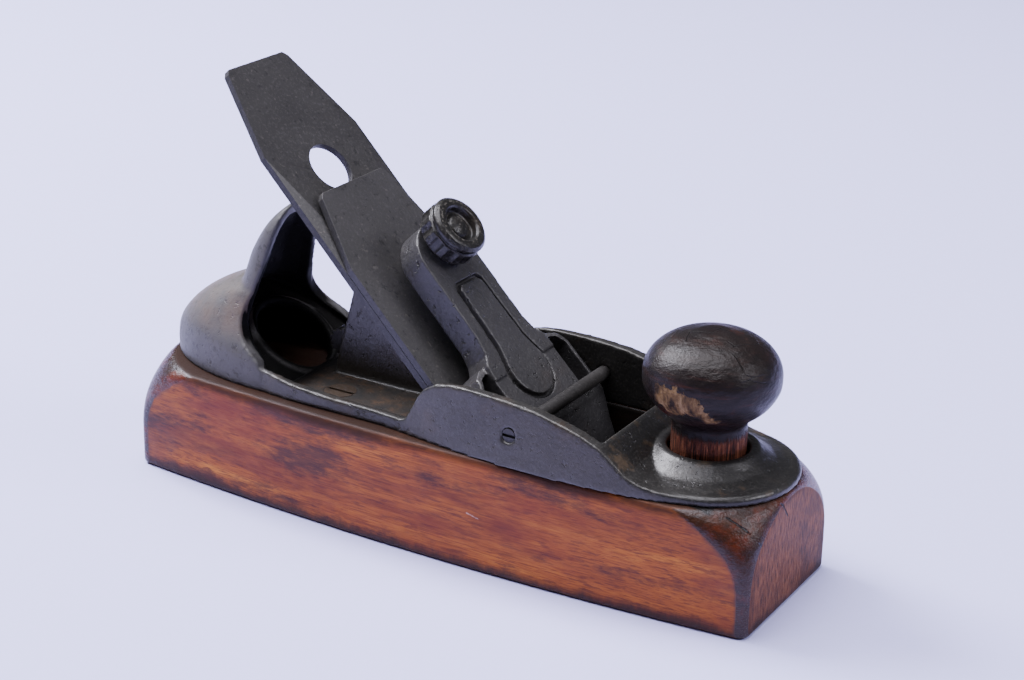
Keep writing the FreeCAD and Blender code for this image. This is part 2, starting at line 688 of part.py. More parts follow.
def lever_cap():
    """Clamping cap: a thick arm on a wide, pocketed foot that ends in a lip."""
    top = size("lever_top")
    arm = size("arm_half")
    foot = size("arm_foot")
    foot_half = size("foot_half")
    ear = size("ear_half")
    lip = size("cap_lip_at")
    end = size("arm_end")
    # wide foot in side view
    foot_side = [(lip, 4.7), (lip + 2.6, 4.5), (lip + 4.0, 6.2), (35.0, 7.0), (foot + 1.5, 7.0),
                 (foot + 1.5, 13.6), (foot - 2, top - 0.6), (38.0, top), (35.4, top - 0.9), (lip + 0.6, 6.4)]
    foot_plan = mirrored_outline([(lip - 1, 22.0), (30, 22.0), (40, ear), (foot - 5, ear),
                                  (foot - 1, ear - 2.2), (foot + 0.8, ear - 6), (foot + 1.5, arm)])
    solid = side_prism(foot_side, 30).common(plan_prism(foot_plan, -1, 30))
    for sign in (-1, 1):
        inner = foot_half * sign
        outer = (ear - 1.4) * sign
        pocket_plan = [(40.5, inner), (40.5, outer), (foot - 5, outer),
                       (foot - 1.8, (ear - 3.6) * sign), (foot - 0.6, inner)]
        pocket = plan_prism(pocket_plan, 8.4, 30)
        solid = solid.cut(pocket)
    # arm with its rounded end
    centre = end - arm
    under = top - size("arm_depth")
    flare = [(foot + 14, arm), (foot + 8, arm + 0.2), (foot + 3.5, 13.0), (foot + 0.5, 15.4),
             (foot - 4, foot_half)]
    slab = plan_prism(mirrored_outline([(centre, arm)] + flare), under, top)
    slab = slab.fuse(Part.makeCylinder(arm, size("arm_depth"), Vector(centre, 0, under)))
    solid = solid.fuse(slab)
    # hollow under the foot and the arm
    foot_hollow = [(lip + 6, 0), (lip + 6, 6.4), (36, 12.6), (foot - 6, 12.6), (foot - 2, 0)]
    solid = solid.cut(side_prism(foot_hollow, foot_half - 2))
    hollow_half = arm - 3.2
    solid = solid.cut(Part.makeBox(26, 2 * hollow_half, 4.5, Vector(foot + 2, -hollow_half, under)))
    # raised plain panel with a groove round it
    panel = plan_prism(panel_outline(0.0), top - size("panel_groove"), top + size("panel_rise"))
    groove = plan_prism(panel_outline(size("panel_groove_width")), top - size("panel_groove"), top + 1)
    solid = solid.cut(groove.cut(panel)).fuse(panel)
    bore = Part.makeCylinder(size("stem_radius") + size("running_gap"), 40, Vector(size("thumb_at"), 0, 0))
    return feature("lever_cap", solid.cut(bore).removeSplitter(), BED)


def panel_outline(grow):
    """Plain tapering panel with a round foot, in the lever cap's plan."""
    foot_x = size("arm_foot") - 5.5
    radius = 8.6 + grow
    top_x = 84.0 + grow
    half = 5.4 + grow
    points = [(top_x, half - 1.5), (top_x - 1.5, half), (foot_x + 9, half + 0.8)]
    for step in range(9):
        turn = math.radians(65 + step * 115 / 8)
        points.append((foot_x + radius * math.cos(turn), radius * math.sin(turn)))
    return points + [(x, -y) for x, y in reversed(points[:-1])]


# ---- thumbscrew ----

def thumbscrew_stem():
    """Screw stem whose round tip bears on the cap iron."""
    shaft = cylinder("stem_shaft", "Sizes.stem_radius", "Sizes.thumb_top - 3.4 - Sizes.stem_tip",
                     (size("thumb_at"), 0, size("stem_tip")))
    item = fuse("thumbscrew_stem", [shaft, cylinder("stem_collar", "Sizes.stem_radius + 1.6", "1.0",
                                                    (size("thumb_at"), 0, size("lever_top") + 0.4))])
    item.Placement = BED
    return item


def thumbscrew_knob():
    """Fluted knob with a dished face and a low dome in the dish."""
    radius = size("thumb_radius")
    low = size("thumb_bottom")
    top = size("thumb_top")
    dish = size("thumb_dish")
    outline = [(0, low), (radius - 1.6, low), (radius - 0.3, low + 0.9), (radius, low + 1.4),
               (radius, top - 3.2), (radius - 0.7, top - 2.7), (radius - 0.2, top - 2.0),
               (radius - 0.2, top - 1.1), (radius - 1.1, top - 0.2), (radius - 1.9, top), (dish, top),
               (dish - 0.5, top - 0.6), (dish - 0.9, top - 2.1), (dish - 1.8, top - 2.3), (3.2, top - 1.3),
               (1.6, top - 0.7), (0, top - 0.5)]
    blank = polyline_face([(r, 0, z) for r, z in outline]).revolve(Vector(0, 0, 0), Vector(0, 0, 1), 360)
    flutes = int(size("thumb_flutes"))
    for index in range(flutes):
        turn = 2 * math.pi * index / flutes
        reach = radius + size("flute_radius") - size("flute_depth")
        place = Vector(reach * math.cos(turn), reach * math.sin(turn), low - 1)
        blank = blank.cut(Part.makeCylinder(size("flute_radius"), top - low - 2.2, place))
    bore_top = top - 3.35
    bore = Part.makeCylinder(size("stem_radius") + 0.05, bore_top - low + 1, Vector(0, 0, low - 1))
    knob = blank.cut(bore)
    knob.translate(Vector(size("thumb_at"), 0, 0))
    return feature("thumbscrew_knob", knob, BED)


# ---- adjusting lever ----

def lever_pin_centre():
    return on_bed(size("nib_at"), 0, -size("lever_arm"))


def adjusting_lever():
    """Bell-crank lever between the webs: a nib up into the cap iron, a serrated tail behind."""
    pin = lever_pin_centre()
    nib_at = size("nib_at")
    arm = size("lever_arm")
    nib = [on_bed(nib_at + side * reach, 0, out) for side, reach, out in
           ((1, 3.4, -arm), (1, 1.6, -4.0), (1, 1.5, 1.2), (1, 0.9, 1.8),
            (-1, 0.9, 1.8), (-1, 1.5, 1.2), (-1, 1.6, -4.0), (-1, 3.4, -arm))]
    half = size("lever_thick") / 2
    blade = side_prism([(point.x, point.z) for point in nib], half)
    tail_x = size("tail_x")
    tail_z = size("tail_z")
    tip = size("tail_radius")
    tail = side_prism([(pin.x, pin.z + 3.4), (tail_x, tail_z + 3.0),
                       (tail_x, tail_z - 3.0), (pin.x, pin.z - 3.4)], half)
    along = Vector(0, 1, 0)
    hub = Part.makeCylinder(3.6, 2 * half, Vector(pin.x, -half, pin.z), along)
    lever = blade.fuse([tail, hub, Part.makeCylinder(tip, 2 * half, Vector(tail_x, -half, tail_z), along)])
    # serrations round the tip
    for step in range(7):
        turn = math.radians(95 + step * 28)
        place = Vector(tail_x + tip * math.cos(turn), -half, tail_z + tip * math.sin(turn))
        lever = lever.cut(Part.makeCylinder(0.65, 2 * half, place, along))
    bore = Part.makeCylinder(size("pin_radius") + 0.05, 4 * half, Vector(pin.x, -2 * half, pin.z), along)
    return feature("adjusting_lever", lever.cut(bore).removeSplitter())


def lever_pivot_pin():
    pin = lever_pin_centre()
    return cylinder("lever_pivot_pin", "Sizes.pin_radius", "2 * Sizes.web_outer",
                    (pin.x, -size("web_outer"), pin.z), (0, 1, 0))


# ---- front knob ----

def front_knob():
    """Turned mushroom knob standing in the boss."""
    neck = size("knob_neck")
    equator = size("knob_equator")
    radius = size("knob_radius")
    top = size("knob_top")
    foot = size("floor_top")
    flat = 47.6
    crown = [(radius * math.cos(turn) ** 0.92, 0, equator + (top - equator) * math.sin(turn) ** 0.98)
             for turn in (math.radians(15 * step) for step in range(6))] + [(0, 0, top)]
    bulge = [(neck, 0, flat), (11.6, 0, 50.2), (15.6, 0, 53.6), (18.2, 0, 57.6), (radius, 0, equator)]
    under = spline(bulge, (0, 0, 1), (0, 0, 1))
    edges = [Part.LineSegment(Vector(0, 0, foot), Vector(neck, 0, foot)).toShape(),
             Part.LineSegment(Vector(neck, 0, foot), Vector(neck, 0, flat)).toShape(),
             under, spline(crown, (0, 0, 1), (-1, 0, 0)),
             Part.LineSegment(Vector(0, 0, top), Vector(0, 0, foot)).toShape()]
    knob = Part.Face(Part.Wire(edges)).revolve(Vector(0, 0, 0), Vector(0, 0, 1), 360)
    knob = knob.cut(Part.makeCylinder(size("stud_radius"), size("stud_high") - foot, Vector(0, 0, foot)))
    knob.translate(Vector(size("boss_x"), 0, 0))
    return feature("front_knob", knob)


def knob_stud():
    """Stud that holds the knob to the casting and the stock."""
    return cylinder("knob_stud", "Sizes.stud_radius", "Sizes.stud_high - Sizes.stud_low",
                    (size("boss_x"), 0, size("stud_low")))


SUBPARTS = [wood_body(), top_casting(), cross_rod(), frame_screws(), front_knob(), knob_stud(),
            cutter(), cap_iron(), cap_iron_screw(), lever_cap(), thumbscrew_stem(), thumbscrew_knob(),
            adjusting_lever(), lever_pivot_pin()]
doc.recompute()

for item in doc.Objects:
    if "Invalid" in item.State or "Error" in item.State:
        raise RuntimeError("failed object: " + item.Label)
for item in SUBPARTS:
    if item.Shape.isNull() or not item.Shape.isValid():
        raise RuntimeError("bad shape: " + item.Label)

os.makedirs("parts", exist_ok=True)
for item in SUBPARTS:
    item.Shape.exportStep("parts/" + item.Label + ".step")
    box_now = item.Shape.BoundBox
    print("%-18s solids %d volume %9.1f  x %.1f..%.1f y %.1f..%.1f z %.1f..%.1f" % (
        item.Label, len(item.Shape.Solids), item.Shape.Volume, box_now.XMin, box_now.XMax,
        box_now.YMin, box_now.YMax, box_now.ZMin, box_now.ZMax))
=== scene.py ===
import json
import math

import bmesh
import bpy
from mathutils import Matrix, Vector

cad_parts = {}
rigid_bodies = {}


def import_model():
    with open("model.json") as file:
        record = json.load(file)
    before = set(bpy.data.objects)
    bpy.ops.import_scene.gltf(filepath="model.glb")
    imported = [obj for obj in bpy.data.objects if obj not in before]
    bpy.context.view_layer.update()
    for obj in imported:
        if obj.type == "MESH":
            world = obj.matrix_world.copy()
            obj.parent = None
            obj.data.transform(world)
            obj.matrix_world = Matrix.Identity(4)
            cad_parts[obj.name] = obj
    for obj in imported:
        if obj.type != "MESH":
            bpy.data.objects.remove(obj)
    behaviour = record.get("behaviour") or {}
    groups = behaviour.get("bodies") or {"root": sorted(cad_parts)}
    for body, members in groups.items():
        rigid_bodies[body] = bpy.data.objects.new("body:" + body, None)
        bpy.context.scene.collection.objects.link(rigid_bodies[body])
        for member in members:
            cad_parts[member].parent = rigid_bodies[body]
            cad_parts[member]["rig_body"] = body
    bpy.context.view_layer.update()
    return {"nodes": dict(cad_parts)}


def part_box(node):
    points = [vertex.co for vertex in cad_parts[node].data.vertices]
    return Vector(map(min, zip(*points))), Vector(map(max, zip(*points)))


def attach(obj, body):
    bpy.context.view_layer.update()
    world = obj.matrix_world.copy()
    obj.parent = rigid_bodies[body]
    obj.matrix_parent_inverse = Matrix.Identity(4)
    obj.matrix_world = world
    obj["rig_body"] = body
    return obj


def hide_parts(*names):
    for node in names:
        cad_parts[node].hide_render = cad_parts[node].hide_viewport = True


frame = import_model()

MM = 0.001

# places that the materials follow, in mm: X to the toe, Y across, Z up from the sole;
# the knob's chip is placed by its angle round the knob
STOCK_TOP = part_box("wood_body")[1].z / MM
THROAT_HALF_WIDTH = 24.6
CASTING_FLOOR = 36.2
HANDLE_X = -62.0
KNOB_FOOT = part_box("front_knob")[0].z / MM
CHIP_HEIGHT = KNOB_FOOT + 25.5
CHIP_ANGLE = math.radians(-87)
TOE_CRACKS = (
    ((92.6, -22.4, 32.6), (97.4, -21.1, 29.8)),
    ((97.4, -21.1, 29.8), (101.4, -18.8, 25.2)),
    ((101.4, -7.4, 33.0), (101.6, -3.0, 27.4)),
)
SIDE_SCRATCH = ((18.6, -31.2, 17.4), (22.6, -31.2, 16.4))
CRACK_WIDTH = 0.35

# finishes that more than one function needs
BEECH_SPECULAR = 0.22
IRON_SPECULAR = 0.42
IRON_COAT = 0.12
WARM_GLINT = (1.0, 0.95, 0.86)
CRACK_BLACK = (0.003, 0.002, 0.002)

# stage
FLOOR_SIZE = 12.0
LIGHT_TINT = (0.85, 0.86, 1.0)
LIGHT_AIM = Vector((0, 0, 40 * MM))
SKY_COLOUR = (0.80, 0.82, 1.0, 1)
SKY_STRENGTH = 0.14

# camera: place, aim and lens
CAMERA_PLACE = Vector((0.3023, -0.4888, 0.2841))
CAMERA_YAW = -0.5334
CAMERA_PITCH = 0.3803
CAMERA_ROLL = 0.0207
CAMERA_LENS = 76.64
SENSOR_WIDTH = 36.0


# ---- meshes ----

WELD_GAP = 1e-6
SHARP_EDGE = math.radians(35)


def refined(node, voxel, rounds):
    """A finer copy of a CAD node with its edges softened as cast or worn ones are."""
    source = frame["nodes"][node]
    mesh = source.data.copy()
    welded = bmesh.new()
    welded.from_mesh(mesh)
    bmesh.ops.remove_doubles(welded, verts=welded.verts, dist=WELD_GAP)
    welded.to_mesh(mesh)
    welded.free()
    piece = bpy.data.objects.new(node + "_finish", mesh)
    bpy.context.scene.collection.objects.link(piece)
    remesh = piece.modifiers.new("remesh", "REMESH")
    remesh.mode = "VOXEL"
    remesh.voxel_size = voxel
    remesh.adaptivity = 0.0
    soften = piece.modifiers.new("soften", "SMOOTH")
    soften.factor = 0.5
    soften.iterations = rounds
    graph = bpy.context.evaluated_depsgraph_get()
    finished = bpy.data.meshes.new_from_object(piece.evaluated_get(graph))
    piece.modifiers.clear()
    piece.data = finished
    for polygon in finished.polygons:
        polygon.use_smooth = True
    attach(piece, source["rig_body"])
    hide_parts(node)
    return piece


def ease_edges(node, width):
    """Soften a CAD node's sharp edges in place, as files and use have done."""
    target = frame["nodes"][node]
    target.modifiers.new("weld", "WELD").merge_threshold = WELD_GAP
    ease = target.modifiers.new("ease", "BEVEL")
    ease.width = width
    ease.segments = 2
    ease.limit_method = "ANGLE"
    ease.angle_limit = SHARP_EDGE
    ease.harden_normals = True


# ---- node materials ----

class Shader:
    """A Principled material and short helpers to build its nodes. Masks run from 0 to 1."""

    def __init__(self, name, specular, metallic=0.0, coat=0.0, coat_roughness=0.1, tint=(1, 1, 1)):
        self.material = bpy.data.materials.new(name)
        self.material.use_nodes = True
        self.tree = self.material.node_tree
        self.bsdf = self.tree.nodes["Principled BSDF"]
        self.bsdf.inputs["Metallic"].default_value = metallic
        self.bsdf.inputs["Specular IOR Level"].default_value = specular
        self.bsdf.inputs["Specular Tint"].default_value = (*tint, 1.0)
        self.bsdf.inputs["Coat Weight"].default_value = coat
        self.bsdf.inputs["Coat Roughness"].default_value = coat_roughness
        self.coords = self.tree.nodes.new("ShaderNodeTexCoord").outputs["Object"]
        self.split = None

    def link(self, value, socket):
        """A node's output is linked to the socket, a plain value is set on it."""
        if hasattr(value, "is_linked"):
            self.tree.links.new(value, socket)
        else:
            socket.default_value = value

    def node(self, kind, inputs=(), **settings):
        made = self.tree.nodes.new(kind)
        for name, value in settings.items():
            setattr(made, name, value)
        for key, value in dict(inputs).items():
            self.link(value, made.inputs[key])
        return made

    def math(self, operation, first, second=0.0, clamp=False):
        made = self.node("ShaderNodeMath", {0: first, 1: second}, operation=operation)
        made.use_clamp = clamp
        return made.outputs[0]

    def times(self, first, second):
        return self.math("MULTIPLY", first, second)

    def plus(self, first, second):
        return self.math("ADD", first, second)

    def minus(self, first, second, clamp=False):
        return self.math("SUBTRACT", first, second, clamp)

    def larger(self, first, second):
        return self.math("MAXIMUM", first, second)

    def absolute(self, value):
        return self.math("ABSOLUTE", value)

    def invert(self, value):
        return self.minus(1.0, value)

    def vector_math(self, operation, inputs, output="Vector"):
        return self.node("ShaderNodeVectorMath", inputs, operation=operation).outputs[output]

    def axis(self, name):
        """Place along an axis of the plane, in metres."""
        if self.split is None:
            self.split = self.node("ShaderNodeSeparateXYZ", {0: self.coords})
        return self.split.outputs[name]

    def facing(self, name):
        """How far the surface faces along an axis, -1 to 1."""
        geometry = self.node("ShaderNodeNewGeometry")
        return self.node("ShaderNodeSeparateXYZ", {0: geometry.outputs["Normal"]}).outputs[name]

    def stretch(self, x, y, z):
        """Coordinates scaled by axis: a noise on them is drawn out along the axis of least scale."""
        return self.node("ShaderNodeMapping", {"Vector": self.coords, "Scale": (x, y, z)}).outputs[0]

    def noise(self, scale, detail, rough, vector=None, twist=0.0, seed=0.0):
        source = self.coords if vector is None else vector
        inputs = {"Vector": source, "W": seed, "Scale": scale, "Detail": detail,
                  "Roughness": rough, "Distortion": twist}
        return self.node("ShaderNodeTexNoise", inputs, noise_dimensions="4D").outputs[0]

    def band(self, value, low, high):
        """0 on low's side, 1 on high's side, smooth between. Low may be the larger of the two."""
        made = self.node("ShaderNodeMapRange", {"Value": value, "From Min": low, "From Max": high})
        made.interpolation_type = "SMOOTHSTEP"
        return made.outputs[0]

    def band_mm(self, value, low, high):
        """A band over a value in metres, with its limits given in mm."""
        return self.band(value, low * MM, high * MM)

    def edges(self, low, high):
        """Mask of convex edges."""
        return self.band(self.node("ShaderNodeNewGeometry").outputs["Pointiness"], low, high)

    def stroke(self, start, end, width, stray):
        """Mask of a thin line between two places given in mm, led astray by a -0.5 to 0.5 value."""
        start = Vector(start) * MM
        reach = Vector(end) * MM - start
        offset = self.vector_math("SUBTRACT", {0: self.coords, 1: start})
        along = self.vector_math("DOT_PRODUCT", {0: offset, 1: reach}, "Value")
        share = self.math("DIVIDE", along, reach.length_squared, clamp=True)
        foot = self.vector_math("SCALE", {0: reach, "Scale": share})
        aside = self.vector_math("DISTANCE", {0: offset, 1: foot}, "Value")
        aside = self.plus(aside, self.times(stray, 2.0 * width * MM))
        return self.invert(self.band_mm(aside, 0.4 * width, width))

    def ramp(self, value, stops):
        made = self.node("ShaderNodeValToRGB", {0: value})
        elements = made.color_ramp.elements
        while len(elements) < len(stops):
            elements.new(0.5)
        for element, (place, colour) in zip(elements, stops):
            element.position = place
            element.color = (*colour, 1.0)
        return made.outputs[0]

    def mix(self, factor, first, second):
        made = self.node("ShaderNodeMix", data_type="RGBA")
        for key, value in ((0, factor), (6, first), (7, second)):
            if isinstance(value, tuple):
                value = (*value, 1.0)
            self.link(value, made.inputs[key])
        return made.outputs[2]

    def over(self, tone, mask, amount, colour):
        """A colour laid over tone where the mask is, at most by amount."""
        return self.mix(self.times(mask, amount), tone, colour)

    def bump(self, height, strength, distance, under=None):
        inputs = {"Height": height, "Strength": strength, "Distance": distance}
        made = self.node("ShaderNodeBump", inputs)
        if under is not None:
            self.link(under, made.inputs["Normal"])
        return made.outputs[0]

    def vary(self, socket, value):
        """Drive one of the shader's sockets by a mask."""
        self.link(value, self.bsdf.inputs[socket])

    def finish(self, colour, roughness, normal=None):
        self.vary("Base Color", colour)
        self.vary("Roughness", roughness)
        if normal is not None:
            self.vary("Normal", normal)
            self.vary("Coat Normal", normal)
        return self.material


# ---- beech stock ----

def long_grain(look, fibres, hairs):
    """Red-brown grain along X: wide bands of light and dark, then fibres, hairs and flecks."""
    flecks = look.noise(9, 4, 0.55, look.stretch(16, 130, 130), seed=3.0)
    wide = look.noise(2.2, 5, 0.65, look.stretch(8, 45, 52), twist=0.5, seed=8.0)
    tone = look.ramp(wide, [(0.28, (0.090, 0.017, 0.005)), (0.42, (0.205, 0.044, 0.007)),
                            (0.58, (0.390, 0.104, 0.010)), (0.76, (0.620, 0.225, 0.024))])
    tone = look.over(tone, look.band(fibres, 0.44, 0.64), 0.55, (0.11, 0.020, 0.006))
    tone = look.over(tone, look.band(hairs, 0.54, 0.63), 0.65, (0.08, 0.016, 0.007))
    return look.over(tone, look.band(flecks, 0.56, 0.62), 0.6, (0.085, 0.018, 0.008))


def stained(look, tone):
    """Broad red and dark stains, dark ones heavier to the heel, top and foot, and glowing places."""
    red = look.band(look.noise(22, 5, 0.65, look.stretch(0.8, 1, 1.3), seed=12.0), 0.46, 0.66)
    tone = look.over(tone, red, 0.6, (0.17, 0.024, 0.008))
    heel_bias = look.times(look.band_mm(look.axis("X"), 30, -110), 0.09)
    from_middle = look.absolute(look.minus(look.axis("Z"), 16 * MM))
    edge_bias = look.times(look.band_mm(from_middle, 8, 18), 0.06)
    blots = look.noise(38, 7, 0.74, look.stretch(0.5, 1, 1.7), seed=13.0)
    dark = look.band(look.plus(blots, look.plus(heel_bias, edge_bias)), 0.53, 0.66)
    tone = look.over(tone, dark, 0.8, (0.040, 0.013, 0.009))
    glow = look.band(look.noise(34, 7, 0.75, look.stretch(0.35, 1, 2.0), seed=14.0), 0.50, 0.66)
    glow = look.times(glow, look.minus(0.9, dark, clamp=True))
    return look.over(tone, glow, 0.45, (0.54, 0.17, 0.018))


def end_grain(look):
    """Darker wood of the two ends, with upright pores and stains."""
    pores = look.noise(60, 5, 0.65, look.stretch(2, 34, 5), seed=21.0)
    tone = look.ramp(pores, [(0.34, (0.022, 0.009, 0.005)), (0.48, (0.125, 0.042, 0.017)),
                             (0.70, (0.320, 0.120, 0.050))])
    stains = look.band(look.noise(55, 6, 0.7, look.stretch(1, 1.4, 0.8), seed=27.0), 0.45, 0.62)
    return look.over(tone, stains, 0.6, (0.035, 0.013, 0.010))


def corner_grime_and_shade(look):
    """Near-black with patches of dark red for the rounded corners: grime, and painted shade of the
    rounded facets.
    """
    patches = look.band(look.noise(70, 5, 0.65, look.stretch(1, 1, 1.6), seed=25.0), 0.48, 0.66)
    return look.mix(patches, (0.010, 0.006, 0.004), (0.085, 0.015, 0.005))


def worn_top_edge(look, corner, clouds):
    """Ragged mask along the stock's top edge, weaker on the corners."""
    ragged = look.plus(look.axis("Z"), look.times(clouds, 8 * MM))
    patches = look.band(look.noise(50, 5, 0.6, seed=31.0), 0.2, 0.5)
    wear = look.times(look.band_mm(ragged, STOCK_TOP + 0.5, STOCK_TOP + 3.2), patches)
    return look.times(wear, look.invert(look.times(corner, 0.8)))


def chipped_foot(look):
    """Ragged mask along the sole's edge."""
    chips = look.noise(95, 5, 0.7, look.stretch(1, 1, 0.4), seed=33.0)
    return look.invert(look.band_mm(look.minus(look.axis("Z"), look.times(chips, 8 * MM)), -3.0, 0.5))


def throat_painted_shade(look):
    """Mask of the painted shade in the throat: clear of the sides, ends and sole, and of the top behind
    the front wall.
    """
    along = look.axis("X")
    height = look.axis("Z")
    at_top = look.band_mm(height, STOCK_TOP - 0.8, STOCK_TOP - 0.2)
    below_top = look.larger(look.invert(at_top), look.band_mm(along, 0, 10))
    across = look.absolute(look.axis("Y"))
    walls = look.invert(look.band_mm(across, THROAT_HALF_WIDTH - 0.3, THROAT_HALF_WIDTH + 0.3))
    walls = look.times(walls, look.times(look.band_mm(height, 0.5, 3.0), below_top))
    return look.times(walls, look.invert(look.band_mm(look.absolute(along), 88, 90)))


def beech():
    """Oiled beech: grain along X, stains, round corners dark with grime and painted shade, end grain,
    painted shade in the throat.
    """
    look = Shader("aged_beech", specular=BEECH_SPECULAR, coat=0.05, coat_roughness=0.3)
    fibres = look.noise(28, 6, 0.6, look.stretch(4, 90, 90), seed=1.0)
    hairs = look.noise(16, 5, 0.65, look.stretch(5, 190, 190), seed=2.0)
    clouds = look.noise(26, 4, 0.6, seed=5.0)
    facing_end = look.absolute(look.facing("X"))
    end_mask = look.band(facing_end, 0.95, 0.985)
    wobble = look.times(look.minus(clouds, 0.5), 0.16)
    corner = look.times(look.band(look.plus(facing_end, wobble), 0.08, 0.17), look.invert(end_mask))
    top_wear = worn_top_edge(look, corner, clouds)

    tone = stained(look, long_grain(look, fibres, hairs))
    tone = look.mix(end_mask, tone, end_grain(look))
    # round corners: grime, and painted shade of their facets
    tone = look.over(tone, corner, 0.92, corner_grime_and_shade(look))
    tone = look.over(tone, top_wear, 0.85, (0.034, 0.016, 0.010))
    tone = look.over(tone, chipped_foot(look), 0.88, (0.026, 0.012, 0.008))

    # cracks at the near toe corner and a light scratch on the side
    stray = look.minus(look.noise(420, 3, 0.6, seed=35.0), 0.5)
    cracks = 0.0
    for start, end in TOE_CRACKS:
        cracks = look.larger(cracks, look.stroke(start, end, CRACK_WIDTH, stray))
    tone = look.mix(cracks, tone, CRACK_BLACK)
    scratch = look.stroke(*SIDE_SCRATCH, CRACK_WIDTH, stray)
    tone = look.over(tone, scratch, 0.7, (0.62, 0.42, 0.34))

    # dusty top under the casting, painted shade in the throat
    facing_up = look.band(look.facing("Z"), 0.85, 0.97)
    dusty = look.times(facing_up, look.band_mm(look.axis("Z"), STOCK_TOP - 4.0, STOCK_TOP - 1.5))
    tone = look.over(tone, dusty, 0.85, (0.022, 0.011, 0.007))
    tone = look.over(tone, throat_painted_shade(look), 0.97, (0.006, 0.005, 0.004))

    rough = look.plus(0.40, look.times(fibres, 0.25))
    rough = look.minus(rough, look.times(corner, 0.26))
    dull = look.times(look.larger(top_wear, end_mask), 0.14)
    gloss = look.times(corner, 0.11)
    look.vary("Specular IOR Level", look.minus(look.plus(BEECH_SPECULAR, gloss), dull))
    dents = look.times(look.noise(150, 5, 0.7, seed=36.0), corner)
    relief = look.plus(look.minus(clouds, look.times(cracks, 0.8)), dents)
    normal = look.bump(look.plus(fibres, hairs), 0.3, 0.3 * MM)
    return look.finish(tone, rough, look.bump(relief, 0.4, 1.4 * MM, normal))


# ---- japanned iron ----

def iron(name, base, worn, edge_wear, cast, rust=0.35, gloss=0.24, specular=IRON_SPECULAR,
         regions=None):
    """Japanned cast iron: black lacquer on a pebbled skin, worn grey edges, grime in the hollows."""
    look = Shader(name, specular=specular, coat=IRON_COAT, coat_roughness=0.14, tint=WARM_GLINT)
    skin = look.noise(700, 4, 0.65, seed=2.0)
    lumps = look.noise(150, 4, 0.6, seed=3.0)
    clouds = look.noise(45, 5, 0.6, seed=4.0)
    pits = look.invert(look.band(look.noise(520, 3, 0.6, seed=6.0), 0.30, 0.40))
    lighter = tuple(1.8 * part for part in base)
    tone = look.mix(clouds, base, lighter)
    brown = look.band(look.noise(70, 6, 0.7, seed=9.0), 0.52, 0.7)
    tone = look.over(tone, brown, rust, (0.050, 0.028, 0.014))
    edge = look.times(look.edges(0.515, 0.57), look.band(clouds, 0.32, 0.58))
    tone = look.over(tone, edge, edge_wear, worn)
    hollow = look.invert(look.edges(0.44, 0.492))
    tone = look.over(tone, hollow, 0.85, (0.004, 0.004, 0.004))
    tone = look.over(tone, pits, 0.6, (0.006, 0.006, 0.006))
    grit = look.band(look.noise(1400, 3, 0.6, seed=8.0), 0.48, 0.72)
    tone = look.over(tone, grit, 0.30, worn)
    rough = look.plus(gloss, look.times(lumps, 0.34))
    if regions is not None:
        tone, rough = regions(look, tone, rough, clouds, pits)
    normal = look.bump(skin, cast, 0.25 * MM)
    normal = look.bump(lumps, cast * 0.8, 0.7 * MM, normal)
    normal = look.bump(look.invert(pits), cast, 0.3 * MM, normal)
    return look.finish(tone, rough, normal)


def rubbed_handle(look, clouds, pits):
    """Rubbed grey of the handle's outside, cratered, with warm rust where the horn meets the dome."""
    z = look.axis("Z")
    tone = look.mix(clouds, (0.032, 0.030, 0.030), (0.092, 0.087, 0.085))
    craters = look.invert(look.band(look.noise(420, 5, 0.75, seed=41.0), 0.37, 0.47))
    tone = look.over(tone, look.larger(pits, craters), 0.75, (0.016, 0.014, 0.013))
    kink = look.times(look.band_mm(z, 44, 52), look.invert(look.band_mm(z, 56, 66)))
    warm = look.times(kink, look.band(look.noise(60, 4, 0.6, seed=40.0), 0.35, 0.6))
    return look.over(tone, warm, 0.6, (0.13, 0.085, 0.058))


def handle_hollow_shade(look):
    """Mask of the painted shade in the handle's hollow: walls that face its upright axis, and the ring's
    low floor.
    """
    x = look.axis("X")
    y = look.axis("Y")
    away_in_x = look.times(look.minus(x, HANDLE_X * MM), look.facing("X"))
    outward = look.plus(away_in_x, look.times(y, look.facing("Y")))
    walls = look.times(look.invert(look.band_mm(outward, -2.0, 0.3)), look.band_mm(x, -46, -52))
    facing_up = look.band(look.facing("Z"), 0.5, 0.8)
    low = look.invert(look.band_mm(look.axis("Z"), 44, 47))
    between = look.invert(look.band_mm(look.absolute(y), 19.5, 21.5))
    ring_floor = look.times(look.times(look.times(facing_up, low), between), look.band_mm(x, -40, -48))
    return look.larger(walls, ring_floor)


def floor_dust(look):
    """Brown dust and its mask, on the casting's floor round the screws."""
    x = look.axis("X")
    dust = look.ramp(look.noise(170, 6, 0.75, seed=44.0), [(0.40, (0.007, 0.006, 0.005)),
                                                           (0.54, (0.022, 0.013, 0.007)),
                                                           (0.70, (0.085, 0.040, 0.014))])
    level = look.band(look.facing("Z"), 0.8, 0.95)
    low = look.invert(look.band_mm(look.axis("Z"), CASTING_FLOOR + 0.6, CASTING_FLOOR + 2.0))
    between = look.times(look.band_mm(x, -49, -42), look.band_mm(x, 8, -2))
    return dust, look.times(look.times(level, low), between)


